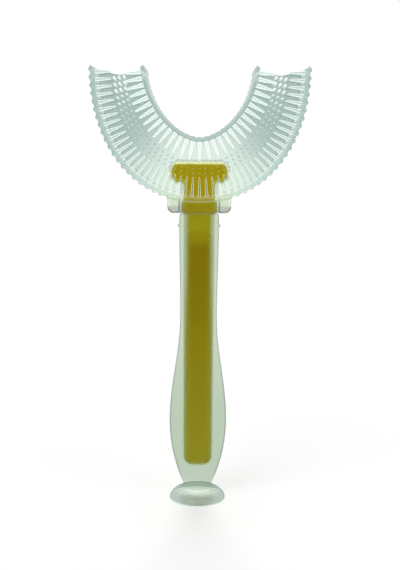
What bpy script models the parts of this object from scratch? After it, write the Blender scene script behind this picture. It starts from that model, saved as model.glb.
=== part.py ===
"""A U-shaped toothbrush that stands on its own suction foot.

Three mouldings: a yellow plastic core, a silicone grip sleeve moulded round the core, and a
silicone brush head that pulls up off the core's flat tongue. The head is a U-shaped tray of
H section, with a row of teeth biting on each side of its web, and bristles on its two walls
and on its web. Metres, +Z up, origin at the middle of the suction foot's rim. The head's web
lies in the plane y = 0.
"""

import math

import bmesh
import bpy
from mathutils import Matrix, Vector

# Clearance between pieces that touch, the overrun of every cut, and what merges as one point
GAP = 0.0003
OVERRUN = 0.002
MERGE_DISTANCE = 0.000003

# Core: the tongue that the head slides on, the neck under it and the bar inside the grip
TONGUE_THICKNESS = 0.0020
TONGUE_HEIGHT = 0.0141
TONGUE_BEVEL = 0.0003
HAMMER_WIDTH = 0.0157
HAMMER_HEIGHT = 0.0055
HAMMER_CORNER = 0.0023
STEM_WIDTH = 0.0089
STEM_FILLET = 0.0009
BLOCK_WIDTH = 0.0101
BLOCK_HEIGHT = 0.0030
BLOCK_CORNER = 0.0006
NECK_THICKNESS = 0.0030
NECK_LENGTH = 0.0050
BAR_WIDTH = 0.0079
BAR_THICKNESS = 0.0044
BAR_CHAMFER = 0.0011
BAR_CORNER = 0.0026
BAR_FLOOR = 0.0105
CORE_JOIN = 0.0020

# Grip sleeve: heights above the foot's rim, and the silicone left round the core
SLEEVE_HEIGHT = 0.0840
TOP_WALL = 0.00137
WAIST_WALL = 0.00100
BULGE_WALL = 0.0040
DEPTH_WALL = 0.00195
WAIST_HEIGHT = 0.0548
BULGE_HEIGHT = 0.0236
LIP_RADIUS = 0.0006
BEAD_DROP = 0.0034
BEAD_HEIGHT = 0.0012
BEAD_STAND = 0.00048
BEAD_SHARES = ((0.5, 0), (0.25, 0.7), (0, 1), (-0.25, 0.7), (-0.5, 0))
FOOT_NECK_RADIUS = 0.0041
FOOT_NECK_HEIGHT = 0.0045
FOOT_RADIUS = 0.0081
FOOT_EDGE = 0.0004
FOOT_DOME = 0.00356
FOOT_FLARE = 0.0009
FOOT_RING = 0.0013
FOOT_HOLLOW = 0.0018

# Brush head: the two faces of the U are superellipses with their middle at the arms' tips
HEAD_HALF_WIDTH = 0.0297
HEAD_HEIGHT = 0.0364
HEAD_POWER = 2.17
TONGUE_SPACE_HALF_WIDTH = 0.01495
TONGUE_SPACE_HEIGHT = 0.0188
TONGUE_SPACE_POWER = 1.75
TRAY_DEPTH = 0.0240
WALL_FOOT = 0.0012
WALL_RIM = 0.0009
WEB_SKIN = 0.0007
ARM_END_DIP = 0.0014
COLLAR_HEIGHT = 0.0035
COLLAR_WALL = 0.0008
COLLAR_SKIN = 0.0013
COLLAR_CORNER = 0.0017
COLLAR_BEVEL = 0.0004

# Bristles: tapered strands on thin strips that line the walls and the web
STRIP_THICKNESS = 0.0004
WALL_ROW_HEIGHTS = (0.0021, 0.0046)
STRIP_MARGIN = 0.0002
STRAND_BASE = 0.00042
STRAND_TIP = 0.00017
OUTER_REACH_ARM = 0.0048
OUTER_REACH_FRONT = 0.0055
INNER_REACH_ARM = 0.0042
INNER_REACH_FRONT = 0.0055
FLOOR_REACH = 0.0034
FLOOR_ROW_OFFSET = 0.0008
STRANDS_SUNK = 0.0002

# Counts
SEGMENTS = 5
OUTER_COLUMNS = 9
INNER_COLUMNS = 6
FLOOR_COLUMNS = 7
STRAND_SIDES = 3
CURVE_SAMPLES = 600
TRAY_STATIONS = 46
DRUM_SIDES = 64
CORNER_STEPS = 5
SLEEVE_SIDES = 28
LIP_STEPS = 3
SHAFT_STEPS = 3
WAIST_STEPS = 7
BULGE_STEPS = 8
FLARE_STEPS = 4
DOME_STEPS = 6
HOLLOW_STEPS = 4

# Angles past which an edge is bevelled, or shown sharp
BEVEL_ANGLE = math.radians(50)
SHARP_ANGLE = math.radians(35)

# Sizes that follow from those above
WEB_THICKNESS = TONGUE_THICKNESS + 2 * GAP + 2 * WEB_SKIN
SEAT_HEIGHT = SLEEVE_HEIGHT + GAP
NECK_WIDTH = BAR_WIDTH
SLOT_WIDTH = HAMMER_WIDTH + 2 * GAP
SLOT_THICKNESS = TONGUE_THICKNESS + 2 * GAP
COLLAR_WIDTH = SLOT_WIDTH + 2 * COLLAR_WALL
COLLAR_DEPTH = SLOT_THICKNESS + 2 * COLLAR_SKIN
HEAD_TOP = COLLAR_HEIGHT + HEAD_HEIGHT
CORE_HALF_WIDTH = BAR_WIDTH / 2 + GAP
TOP_RADIUS = CORE_HALF_WIDTH + TOP_WALL
WAIST_RADIUS = CORE_HALF_WIDTH + WAIST_WALL
BULGE_RADIUS = CORE_HALF_WIDTH + BULGE_WALL
GRIP_DEPTH_SHARE = (BAR_THICKNESS / 2 + GAP + DEPTH_WALL) / WAIST_RADIUS

# Colour, roughness and how much light passes
YELLOW_PLASTIC = ((0.42, 0.33, 0.015), 0.32, 0.15)
GRIP_SILICONE = ((0.60, 0.70, 0.56), 0.42, 0.75)
HEAD_SILICONE = ((0.68, 0.80, 0.76), 0.22, 0.85)


def clear_scene():
    for obj in list(bpy.data.objects):
        bpy.data.objects.remove(obj)


def own_material(name, finish):
    colour, roughness, passing = finish
    material = bpy.data.materials.new(name + "_finish")
    material.use_nodes = True
    shader = material.node_tree.nodes["Principled BSDF"]
    shader.inputs["Base Color"].default_value = (*colour, 1)
    shader.inputs["Roughness"].default_value = roughness
    shader.inputs["Metallic"].default_value = 0
    shader.inputs["Transmission Weight"].default_value = passing
    return material


def empty_at(name, height):
    empty = bpy.data.objects.new(name, None)
    bpy.context.scene.collection.objects.link(empty)
    empty.location = (0, 0, height)
    return empty


def finish_object(bm, name, parent):
    """The bmesh as an object in the scene, with its faces out."""
    bmesh.ops.recalc_face_normals(bm, faces=bm.faces)
    mesh = bpy.data.meshes.new(name)
    bm.to_mesh(mesh)
    bm.free()
    obj = bpy.data.objects.new(name, mesh)
    bpy.context.scene.collection.objects.link(obj)
    obj.parent = parent
    return obj


def as_piece(obj, finish):
    obj.data.materials.append(own_material(obj.name, finish))
    obj.data.shade_smooth()
    obj.data.set_sharp_from_angle(angle=SHARP_ANGLE)


def as_helper(obj):
    obj.hide_render = True
    obj.display_type = "WIRE"
    return obj


def combine(target, helper, operation):
    modifier = target.modifiers.new(helper.name, "BOOLEAN")
    modifier.operation = operation
    modifier.solver = "EXACT"
    modifier.object = as_helper(helper)


def bevelled(obj, width):
    modifier = obj.modifiers.new("edge", "BEVEL")
    modifier.width = width
    modifier.segments = 1
    modifier.limit_method = "ANGLE"
    modifier.angle_limit = BEVEL_ANGLE
    return obj


def rounded_outline(corners):
    """Points round a closed outline of (x, z, radius) corners, each corner an arc."""
    points = []
    for i, (x, z, radius) in enumerate(corners):
        here = Vector((x, z))
        before = Vector(corners[i - 1][:2]) - here
        after = Vector(corners[(i + 1) % len(corners)][:2]) - here
        if not radius:
            points.append(here)
            continue
        half_turn = before.angle(after) / 2
        room = min(before.length, after.length) / 2
        run = min(radius / math.tan(half_turn), room)
        inside = (before.normalized() + after.normalized()).normalized()
        centre = here + inside * run / math.cos(half_turn)
        start = (here + before.normalized() * run - centre).normalized()
        end = (here + after.normalized() * run - centre).normalized()
        for step in range(CORNER_STEPS + 1):
            arm = start.slerp(end, step / CORNER_STEPS)
            points.append(centre + arm * run * math.tan(half_turn))
    return points


def mirrored(right_side):
    """A closed outline from the corners of its right half, listed from the bottom up."""
    left_side = [(-x, z, radius) for x, z, radius in reversed(right_side)]
    return rounded_outline(right_side + left_side)


def plate(name, outline, thickness, parent):
    """An outline in x and z, made a plate of this thickness across y = 0."""
    bm = bmesh.new()
    corners = [bm.verts.new((x, -thickness / 2, z)) for x, z in outline]
    face = bm.faces.new(corners)
    grown = bmesh.ops.extrude_face_region(bm, geom=[face])["geom"]
    moved = [item for item in grown if isinstance(item, bmesh.types.BMVert)]
    bmesh.ops.translate(bm, verts=moved, vec=(0, thickness, 0))
    return finish_object(bm, name, parent)


def bar_plate(name, grow, parent):
    """The chamfered bar inside the grip, or with grow its cavity."""
    half = BAR_WIDTH / 2 + grow
    low = BAR_FLOOR - grow
    high = SLEEVE_HEIGHT - NECK_LENGTH + grow
    corners = [(half, low, BAR_CORNER + grow), (half, high, 0)]
    return bevelled(plate(name, mirrored(corners), BAR_THICKNESS + 2 * grow, parent), BAR_CHAMFER)


def neck_plate(name, grow, top, parent):
    """The thinner neck that joins the bar to the tongue, or with grow its cavity."""
    half = NECK_WIDTH / 2 + grow
    low = SLEEVE_HEIGHT - NECK_LENGTH - CORE_JOIN
    corners = [(half, low, 0), (half, top, 0)]
    return plate(name, mirrored(corners), NECK_THICKNESS + 2 * grow, parent)


def make_core(parent):
    hammer_top = SEAT_HEIGHT + TONGUE_HEIGHT
    hammer_floor = hammer_top - HAMMER_HEIGHT
    block_top = SEAT_HEIGHT + BLOCK_HEIGHT
    root = NECK_WIDTH / 2 - TONGUE_BEVEL
    right_side = [
        (root, SLEEVE_HEIGHT - CORE_JOIN, 0),
        (root, SEAT_HEIGHT, 0),
        (BLOCK_WIDTH / 2, SEAT_HEIGHT, BLOCK_CORNER),
        (BLOCK_WIDTH / 2, block_top, BLOCK_CORNER),
        (STEM_WIDTH / 2, block_top, 0),
        (STEM_WIDTH / 2, hammer_floor, STEM_FILLET),
        (HAMMER_WIDTH / 2, hammer_floor, HAMMER_CORNER),
        (HAMMER_WIDTH / 2, hammer_top, HAMMER_CORNER),
    ]
    core = plate("handle_core", mirrored(right_side), TONGUE_THICKNESS, parent)
    bevelled(core, TONGUE_BEVEL)
    combine(core, neck_plate("core_neck_shape", 0, SLEEVE_HEIGHT, parent), "UNION")
    combine(core, bar_plate("core_bar_shape", 0, parent), "UNION")
    as_piece(core, YELLOW_PLASTIC)


def eased(start, end, share):
    """From start to end along half a cosine wave."""
    return start + (end - start) * (1 - math.cos(math.pi * share)) / 2


def grip_profile():
    """The sleeve's outline as (radius, height), from the top's middle down to the hollow's."""
    lip_top = SLEEVE_HEIGHT - LIP_RADIUS
    points = [(0, SLEEVE_HEIGHT)]
    for step in range(LIP_STEPS + 1):
        turn = step / LIP_STEPS * math.pi / 2
        radius = TOP_RADIUS - LIP_RADIUS * (1 - math.sin(turn))
        points.append((radius, lip_top + LIP_RADIUS * math.cos(turn)))
    for height_share, stand_share in BEAD_SHARES:
        height = SLEEVE_HEIGHT - BEAD_DROP + height_share * BEAD_HEIGHT
        points.append((TOP_RADIUS + stand_share * BEAD_STAND, height))
    under_bead = points[-1][1]
    for step in range(1, SHAFT_STEPS + 1):
        share = step / SHAFT_STEPS
        height = under_bead + (WAIST_HEIGHT - under_bead) * share
        points.append((eased(TOP_RADIUS, WAIST_RADIUS, share), height))
    for step in range(1, WAIST_STEPS + 1):
        share = step / WAIST_STEPS
        height = WAIST_HEIGHT + (BULGE_HEIGHT - WAIST_HEIGHT) * share
        points.append((eased(WAIST_RADIUS, BULGE_RADIUS, share), height))
    for step in range(1, BULGE_STEPS + 1):
        share = step / BULGE_STEPS
        height = BULGE_HEIGHT + (FOOT_NECK_HEIGHT - BULGE_HEIGHT) * share
        points.append((BULGE_RADIUS + (FOOT_NECK_RADIUS - BULGE_RADIUS) * share**2, height))
    flare_radius = FOOT_NECK_RADIUS + FOOT_FLARE
    flare_turn = math.acos(flare_radius / FOOT_RADIUS)
    flare_height = FOOT_EDGE + FOOT_DOME * math.sin(flare_turn)
    corner_height = flare_height + FOOT_FLARE * FOOT_DOME / FOOT_RADIUS / math.tan(flare_turn)
    for step in range(1, FLARE_STEPS + 1):
        share = step / FLARE_STEPS
        radius = FOOT_NECK_RADIUS + FOOT_FLARE * share**2
        height = FOOT_NECK_HEIGHT * (1 - share) ** 2 + flare_height * share**2
        points.append((radius, height + 2 * corner_height * share * (1 - share)))
    for step in range(1, DOME_STEPS + 1):
        turn = flare_turn * (1 - step / DOME_STEPS)
        points.append((FOOT_RADIUS * math.cos(turn), FOOT_EDGE + FOOT_DOME * math.sin(turn)))
    points.append((FOOT_RADIUS, 0))
    hollow_radius = FOOT_RADIUS - FOOT_RING
    for step in range(HOLLOW_STEPS + 1):
        turn = step / HOLLOW_STEPS * math.pi / 2
        points.append((hollow_radius * math.cos(turn), FOOT_HOLLOW * math.sin(turn)))
    return points


def grip_depth_share(height):
    """How deep the sleeve's section is for its width: round at the foot, oval at the grip."""
    climb = min(max((height - FOOT_NECK_HEIGHT) / (BULGE_HEIGHT - FOOT_NECK_HEIGHT), 0), 1)
    return eased(1, GRIP_DEPTH_SHARE, climb)


def make_sleeve(parent):
    bm = bmesh.new()
    profile = [bm.verts.new((radius, 0, height)) for radius, height in grip_profile()]
    edges = [bm.edges.new(pair) for pair in zip(profile, profile[1:])]
    bmesh.ops.spin(
        bm,
        geom=profile + edges,
        axis=(0, 0, 1),
        cent=(0, 0, 0),
        angle=2 * math.pi,
        steps=SLEEVE_SIDES,
        use_merge=True,
    )
    bmesh.ops.remove_doubles(bm, verts=bm.verts, dist=MERGE_DISTANCE)
    for vert in bm.verts:
        vert.co.y *= grip_depth_share(vert.co.z)
    sleeve = finish_object(bm, "grip_sleeve", parent)
    mouth = SLEEVE_HEIGHT + OVERRUN
    combine(sleeve, bar_plate("bar_cavity", GAP, parent), "DIFFERENCE")
    combine(sleeve, neck_plate("neck_cavity", GAP, mouth, parent), "DIFFERENCE")
    as_piece(sleeve, GRIP_SILICONE)


def u_curve(half_width, height, power):
    """A superellipse's lower half in x and z, from the right tip round to the left tip."""
    points = []
    for step in range(CURVE_SAMPLES + 1):
        turn = math.pi * step / CURVE_SAMPLES
        across = math.cos(turn)
        down = abs(math.sin(turn))
        x = math.copysign(half_width * abs(across) ** (2 / power), across)
        points.append(Vector((x, HEAD_TOP - height * down ** (2 / power))))
    return points


def inward_normals(curve):
    """At each point of a curve, the unit vector towards the inside of the U."""
    normals = []
    for i in range(len(curve)):
        along = curve[min(i + 1, len(curve) - 1)] - curve[max(i - 1, 0)]
        normals.append(Vector((along.y, -along.x)).normalized())
    return normals


def offset(curve, distance):
    return [p + n * distance for p, n in zip(curve, inward_normals(curve))]


def stations(curve, start_share, end_share, count):
    """Points spaced evenly along a stretch of a curve, each with its inward normal."""
    lengths = [0]
    for a, b in zip(curve, curve[1:]):
        lengths.append(lengths[-1] + (b - a).length)
    normals = inward_normals(curve)
    found = []
    i = 0
    for step in range(count + 1):
        share = start_share + (end_share - start_share) * step / count
        target = min(max(share, 0), 1) * lengths[-1]
        while i < len(curve) - 2 and lengths[i + 1] < target:
            i += 1
        part = (target - lengths[i]) / (lengths[i + 1] - lengths[i])
        point = curve[i].lerp(curve[i + 1], part)
        found.append((point, normals[i].lerp(normals[i + 1], part).normalized()))
    return found


def length_of(curve):
    return sum((b - a).length for a, b in zip(curve, curve[1:]))


def outer_face():
    return u_curve(HEAD_HALF_WIDTH, HEAD_HEIGHT, HEAD_POWER)


def tongue_face():
    return u_curve(TONGUE_SPACE_HALF_WIDTH, TONGUE_SPACE_HEIGHT, TONGUE_SPACE_POWER)


def loft(rings, name, parent):
    """One closed body from rings of points that match, capped at both ends."""
    bm = bmesh.new()
    made = [[bm.verts.new(point) for point in ring] for ring in rings]
    for ring, following in zip(made, made[1:]):
        count = len(ring)
        for i in range(count):
            k = (i + 1) % count
            bm.faces.new((ring[i], ring[k], following[k], following[i]))
    bm.faces.new(made[0])
    bm.faces.new(made[-1])
    return finish_object(bm, name, parent)


def collar_plate(parent):
    """The socket's mouth under the tray, rounded below, its top inside the tray's outer wall."""
    half = COLLAR_WIDTH / 2
    top = []
    for step in range(2 * CORNER_STEPS + 1):
        x = half - COLLAR_WIDTH * step / (2 * CORNER_STEPS)
        drop = (1 - abs(x / HEAD_HALF_WIDTH) ** HEAD_POWER) ** (1 / HEAD_POWER)
        top.append((x, HEAD_TOP - HEAD_HEIGHT * drop + WALL_FOOT / 2, 0))
    below = [(-half, 0, COLLAR_CORNER), (half, 0, COLLAR_CORNER)]
    outline = rounded_outline(below + top)
    return bevelled(plate("collar_shape", outline, COLLAR_DEPTH, parent), COLLAR_BEVEL)


def slot_plate(parent):
    """The flat socket for the tongue, as wide as the hammer head all the way to its mouth."""
    half = SLOT_WIDTH / 2
    right_side = [(half, -OVERRUN, 0), (half, TONGUE_HEIGHT + GAP, HAMMER_CORNER + GAP)]
    return plate("tongue_slot", mirrored(right_side), SLOT_THICKNESS, parent)


def arm_end_cutter(side, parent):
    """A drum that hollows an arm's end between its two walls."""
    chord = HEAD_HALF_WIDTH - TONGUE_SPACE_HALF_WIDTH
    radius = (chord**2 / 4 + ARM_END_DIP**2) / (2 * ARM_END_DIP)
    middle = side * (HEAD_HALF_WIDTH + TONGUE_SPACE_HALF_WIDTH) / 2
    bm = bmesh.new()
    bmesh.ops.create_cone(
        bm,
        cap_ends=True,
        segments=DRUM_SIDES,
        radius1=radius,
        radius2=radius,
        depth=TRAY_DEPTH + 2 * OVERRUN,
        matrix=Matrix.Rotation(math.pi / 2, 4, "X"),
    )
    bmesh.ops.translate(bm, verts=bm.verts, vec=(middle, 0, HEAD_TOP - ARM_END_DIP + radius))
    name = "right_end_shape" if side > 0 else "left_end_shape"
    return finish_object(bm, name, parent)


def make_tray(parent):
    """The H-section tray: outer wall, web and inner wall, with the socket's collar below."""
    outer = stations(outer_face(), 0, 1, TRAY_STATIONS)
    inner = stations(tongue_face(), 0, 1, TRAY_STATIONS)
    rim = TRAY_DEPTH / 2
    web = WEB_THICKNESS / 2
    rings = []
    for (outer_point, outer_normal), (inner_point, inner_normal) in zip(outer, inner):
        outer_foot = outer_point + outer_normal * WALL_FOOT
        outer_rim = outer_point + outer_normal * WALL_RIM
        inner_foot = inner_point - inner_normal * WALL_FOOT
        inner_rim = inner_point - inner_normal * WALL_RIM
        section = (
            (outer_point, -rim),
            (outer_rim, -rim),
            (outer_foot, -web),
            (inner_foot, -web),
            (inner_rim, -rim),
            (inner_point, -rim),
            (inner_point, rim),
            (inner_rim, rim),
            (inner_foot, web),
            (outer_foot, web),
            (outer_rim, rim),
            (outer_point, rim),
        )
        rings.append([(point.x, y, point.y) for point, y in section])
    tray = loft(rings, "brush_tray", parent)
    combine(tray, arm_end_cutter(1, parent), "DIFFERENCE")
    combine(tray, arm_end_cutter(-1, parent), "DIFFERENCE")
    combine(tray, collar_plate(parent), "UNION")
    combine(tray, slot_plate(parent), "DIFFERENCE")
    as_piece(tray, HEAD_SILICONE)


def strand(bm, root, direction, length):
    """A tapered strand from just under its strip's surface."""
    full = length + STRANDS_SUNK
    turn = direction.to_track_quat("Z", "Y").to_matrix().to_4x4()
    middle = root + direction * (full / 2 - STRANDS_SUNK)
    bmesh.ops.create_cone(
        bm,
        cap_ends=True,
        segments=STRAND_SIDES,
        radius1=STRAND_BASE,
        radius2=STRAND_TIP,
        depth=full,
        matrix=Matrix.Translation(middle) @ turn,
    )


def strip_ends(curve, segment, end_margin):
    """The shares of a curve where a segment's strip starts and ends."""
    length = length_of(curve)
    usable = 1 - 2 * end_margin / length
    half_gap = GAP / 2 / length
    start = end_margin / length + usable * segment / SEGMENTS + half_gap
    end = end_margin / length + usable * (segment + 1) / SEGMENTS - half_gap
    return start, end


def columns_of(curve, start, end, count):
    """The places of a strip's strands: the middles of equal shares of its stretch."""
    half_step = (end - start) / count / 2
    return stations(curve, start + half_step, end - half_step, count - 1)


def reach_at(point, front, arm):
    """How far a wall's bristle stands out: longer at the front of the U than on its arms."""
    climb = (point.y - COLLAR_HEIGHT) / HEAD_HEIGHT
    return eased(front, arm, min(max(climb, 0), 1))


def in_space(point, y):
    return Vector((point.x, y, point.y))


def wall_strip(name, face, inwards, side, segment, columns, reaches, parent):
    """A strip on a wall's tooth side, with rows of strands that point across the channel.

    inwards is 1 for the outer wall and -1 for the inner, and side is the channel's side of
    the web, -1 or 1.
    """
    start, end = strip_ends(face, segment, ARM_END_DIP)
    low = WEB_THICKNESS / 2 + GAP
    high = WEB_THICKNESS / 2 + max(WALL_ROW_HEIGHTS) + STRAND_BASE + STRIP_MARGIN
    back = inwards * GAP
    front = inwards * (GAP + STRIP_THICKNESS)
    rings = []
    for point, normal in stations(face, start, end, columns):
        section = ((back, low), (front, low), (front, high), (back, high))
        rings.append([in_space(point + normal * away, side * y) for away, y in section])
    strip = loft(rings, name, parent)
    bm = bmesh.new()
    for point, normal in columns_of(face, start, end, columns):
        direction = in_space(normal * inwards, 0)
        surface = point + normal * front
        length = reach_at(point, *reaches) - GAP - STRIP_THICKNESS
        for row in WALL_ROW_HEIGHTS:
            root = in_space(surface, side * (WEB_THICKNESS / 2 + row))
            strand(bm, root, direction, length)
    combine(strip, finish_object(bm, name + "_strands", parent), "UNION")
    as_piece(strip, HEAD_SILICONE)


def floor_strip(name, middle, side, segment, parent):
    """A strip on the web between the walls' bristles, with two rows of upright strands."""
    start, end = strip_ends(middle, segment, 2 * ARM_END_DIP)
    low = WEB_THICKNESS / 2 + GAP
    high = low + STRIP_THICKNESS
    half = FLOOR_ROW_OFFSET + STRAND_BASE + STRIP_MARGIN
    rings = []
    for point, normal in stations(middle, start, end, FLOOR_COLUMNS):
        section = ((-half, low), (half, low), (half, high), (-half, high))
        rings.append([in_space(point + normal * away, side * y) for away, y in section])
    strip = loft(rings, name, parent)
    bm = bmesh.new()
    for point, normal in columns_of(middle, start, end, FLOOR_COLUMNS):
        for across in (-FLOOR_ROW_OFFSET, FLOOR_ROW_OFFSET):
            root = in_space(point + normal * across, side * high)
            strand(bm, root, Vector((0, side, 0)), FLOOR_REACH - GAP - STRIP_THICKNESS)
    combine(strip, finish_object(bm, name + "_strands", parent), "UNION")
    as_piece(strip, HEAD_SILICONE)


def make_bristles(parent):
    outer_inside = offset(outer_face(), WALL_FOOT)
    inner_inside = offset(tongue_face(), -WALL_FOOT)
    outer_points = stations(outer_inside, 0, 1, CURVE_SAMPLES)
    inner_points = stations(inner_inside, 0, 1, CURVE_SAMPLES)
    middle = [(a + b) / 2 for (a, _), (b, _) in zip(outer_points, inner_points)]
    outer_reaches = (OUTER_REACH_FRONT, OUTER_REACH_ARM)
    inner_reaches = (INNER_REACH_FRONT, INNER_REACH_ARM)
    for channel, side in (("upper", -1), ("lower", 1)):
        for i in range(SEGMENTS):
            number = i + 1
            wall_strip(
                f"{channel}_outer_bristles_{number}",
                outer_inside, 1, side, i, OUTER_COLUMNS, outer_reaches, parent,
            )
            wall_strip(
                f"{channel}_inner_bristles_{number}",
                inner_inside, -1, side, i, INNER_COLUMNS, inner_reaches, parent,
            )
            floor_strip(f"{channel}_floor_bristles_{number}", middle, side, i, parent)


def main():
    clear_scene()
    handle = empty_at("handle", 0)
    brush_head = empty_at("brush_head", SEAT_HEIGHT)
    make_core(handle)
    make_sleeve(handle)
    make_tray(brush_head)
    make_bristles(brush_head)


main()
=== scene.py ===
"""Looks of a U-shaped toothbrush on a suction foot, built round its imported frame.

The clear brush head is a ribbed tray of H section with dense rows of tapered bristles. The
grip is a frosted sleeve with the suction foot in one piece, and the yellow core shows
through both. Metres, +Z up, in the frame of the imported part.
"""

import math

import bmesh
import bpy
from mathutils import Matrix, Vector


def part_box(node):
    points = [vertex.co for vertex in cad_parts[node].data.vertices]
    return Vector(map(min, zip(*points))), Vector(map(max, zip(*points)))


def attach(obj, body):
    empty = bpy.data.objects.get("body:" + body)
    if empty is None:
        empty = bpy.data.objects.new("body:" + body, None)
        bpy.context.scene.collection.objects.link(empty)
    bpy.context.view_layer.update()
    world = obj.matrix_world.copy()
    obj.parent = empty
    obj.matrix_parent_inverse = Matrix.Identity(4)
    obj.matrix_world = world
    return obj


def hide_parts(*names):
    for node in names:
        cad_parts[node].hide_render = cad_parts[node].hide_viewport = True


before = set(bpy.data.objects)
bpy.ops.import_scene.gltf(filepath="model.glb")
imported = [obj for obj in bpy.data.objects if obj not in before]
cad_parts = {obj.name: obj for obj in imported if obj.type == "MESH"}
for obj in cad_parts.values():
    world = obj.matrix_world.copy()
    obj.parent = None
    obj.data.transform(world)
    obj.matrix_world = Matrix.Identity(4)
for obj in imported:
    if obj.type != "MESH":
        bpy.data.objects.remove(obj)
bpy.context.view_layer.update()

MM = 0.001
MERGE_DISTANCE = 0.002 * MM
OVERRUN = 2 * MM
TOUCH = 0.02 * MM
JUST_PAST = 0.05 * MM
SILICONE_IOR = 1.41
PLASTIC_IOR = 1.46

# Places that the frame gives
TRAY_LOW, TRAY_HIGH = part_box("brush_tray")
_, SLEEVE_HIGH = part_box("grip_sleeve")
CORE_LOW, CORE_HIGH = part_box("handle_core")
SEAT = TRAY_LOW.z
HEAD_TOP = TRAY_HIGH.z
HALF_WIDTH = TRAY_HIGH.x
RIM = TRAY_HIGH.y
SLEEVE_TOP = SLEEVE_HIGH.z
TONGUE_TOP = CORE_HIGH.z
BAR_FLOOR = CORE_LOW.z

# Tray: the U's two faces, its walls, its web, and the ribs on its outer face
COLLAR_HEIGHT = 3.5 * MM
OUTER_POWER = 2.17
TONGUE_HALF_WIDTH = 14.95 * MM
TONGUE_HEIGHT = 18.8 * MM
TONGUE_POWER = 1.75
WEB = 2.0 * MM
WALL_RIM = 1.0 * MM
WALL_FOOT = 1.35 * MM
RIM_ROUND = 0.3 * MM
RIM_STEPS = 3
FOOT_FILLET = 0.7 * MM
END_DIP = 1.9 * MM
END_DIP_POWER = 1.6
RIB_HEIGHT = 0.42 * MM
RIB_WIDTH = 1.25 * MM
NUB_HEIGHT = 0.15 * MM
NUB_WIDTH = 1.0 * MM
STATIONS_PER_RIB = 10
WEB_LANES = 6
CURVE_SAMPLES = 1200

# Collar and socket
COLLAR_WIDTH = 17.9 * MM
COLLAR_DEPTH = 5.2 * MM
COLLAR_CORNER = 1.7 * MM
COLLAR_EDGE = 0.65 * MM
SOCKET_MOUTH = 11.3 * MM
SOCKET_THICKNESS = 2.5 * MM
SOCKET_ROOM = 0.25 * MM
STEM_WIDTH = 8.9 * MM
HAMMER_HEIGHT = 5.5 * MM
HAMMER_CORNER = 2.3 * MM

# Bristles: outlines as (radius in STRAND_BASE, share of the height). The web's get wider
# between the heights PEG_START and PEG_END.
OUTER_COLUMNS = 49
INNER_COLUMNS = 31
FLOOR_COLUMNS = 45
WALL_MARGIN = 1.4 * MM
FLOOR_MARGIN = 2.8 * MM
WALL_ROWS = (1.5 * MM, 3.3 * MM, 5.1 * MM)
FLOOR_ROWS = (-1.35 * MM, 0, 1.35 * MM)
STRAND_BASE = 0.46 * MM
INNER_WIDE = 1.12
STRAND_TIP = 0.18 * MM
TIP = STRAND_TIP / STRAND_BASE
NEEDLE = (
    (0, 0),
    (1.15, 0),
    (0.95, 0.05),
    (0.7, 0.5),
    (TIP, 0.965),
    (0.6 * TIP, 0.992),
    (0, 1),
)
PEG = ((0, 0), (1.1, 0), (1.0, 0.06), (0.95, 0.5), (0.86, 0.9), (0.62, 0.98), (0, 1))
FLOOR_STRAND = 0.6
PEG_WIDE = 1.1
PEG_DEEP = 0.66
PEG_START = 116.7 * MM
PEG_END = 117.6 * MM
STRAND_ROOT = 0.1 * MM
STRAND_SIDES = 8
OUTER_REACH_FRONT = 5.3 * MM
OUTER_REACH_ARM = 3.9 * MM
INNER_REACH_FRONT = 5.6 * MM
INNER_REACH_ARM = 4.4 * MM
FLOOR_REACH = 3.4 * MM

# Sleeve and foot
CORE_HALF_WIDTH = 3.95 * MM
CORE_HALF_THICKNESS = 2.2 * MM
CORE_NECK_HALF_THICKNESS = 1.5 * MM
CORE_NECK_LENGTH = 5.0 * MM
CORE_CHAMFER = 1.1 * MM
CORE_CORNER = 2.6 * MM
CAVITY_ROOM = 0.12 * MM
TOP_RADIUS = 5.62 * MM
WAIST_RADIUS = 5.25 * MM
BULGE_RADIUS = SLEEVE_HIGH.x
WAIST_HEIGHT = 54.8 * MM
BULGE_HEIGHT = 23.6 * MM
DEPTH_SHARE = 0.848
LIP_RADIUS = 0.6 * MM
BEAD_DROP = 3.4 * MM
BEAD_HEIGHT = 1.2 * MM
BEAD_STAND = 0.48 * MM
FOOT_NECK_RADIUS = 4.1 * MM
FOOT_NECK_HEIGHT = 4.5 * MM
FOOT_RADIUS = SLEEVE_HIGH.y
FOOT_EDGE = 0.4 * MM
FOOT_DOME = 3.56 * MM
FOOT_FLARE = 0.9 * MM
FOOT_RING = 0.9 * MM
FOOT_HOLLOW = 2.2 * MM
SLEEVE_SIDES = 96
PROFILE_STEPS = 16
CORNER_STEPS = 8

# Where the head's colour starts to change, and how far from there it has changed
FADE_HEIGHT = 91.5 * MM
FADE_REACH = 28 * MM

# How fine each material's noise is
TRAY_CLOUD = 320
COLLAR_CLOUD = 420
SLEEVE_CLOUD = 260
SLEEVE_GRAIN = 2600
CORE_CLOUD = 180
CORE_SPOTS = 900

# Light: the world's strength, and each lamp's name, place, width in degrees and power
WORLD_LIGHT = 0.72
LAMPS = (
    ("key_light", (-0.35, -0.45, 0.55), 35, 0.88),
    ("fill_light", (0.5, -0.4, 0.3), 35, 0.5),
    ("top_light", (0, 0.35, 0.5), 20, 0.77),
)
FLOOR_SIZE = 1.5
FLOOR_GLOW = 0.125

# Camera, fitted to the photograph's 400 x 570 frame
CAMERA_PLACE = Vector((0.36, -273.4, 104.9)) * MM
CAMERA_PITCH = math.radians(8.6)
CAMERA_ROLL = math.radians(0.4)
CAMERA_LENS = 60.97
SENSOR_HEIGHT = 36

# Angles in degrees past which an edge is shown sharp, or chamfered
SHARP_ANGLE = 35
STRAND_SHARP_ANGLE = 60
CHAMFER_ANGLE = 50

# The tray's and the sleeve's materials, in the order that they are given in
ON_WEB, ON_WALL, ON_COLLAR, ON_SOCKET = range(4)
ON_OUTSIDE, ON_CORE, ON_HOLLOW = range(3)


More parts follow.
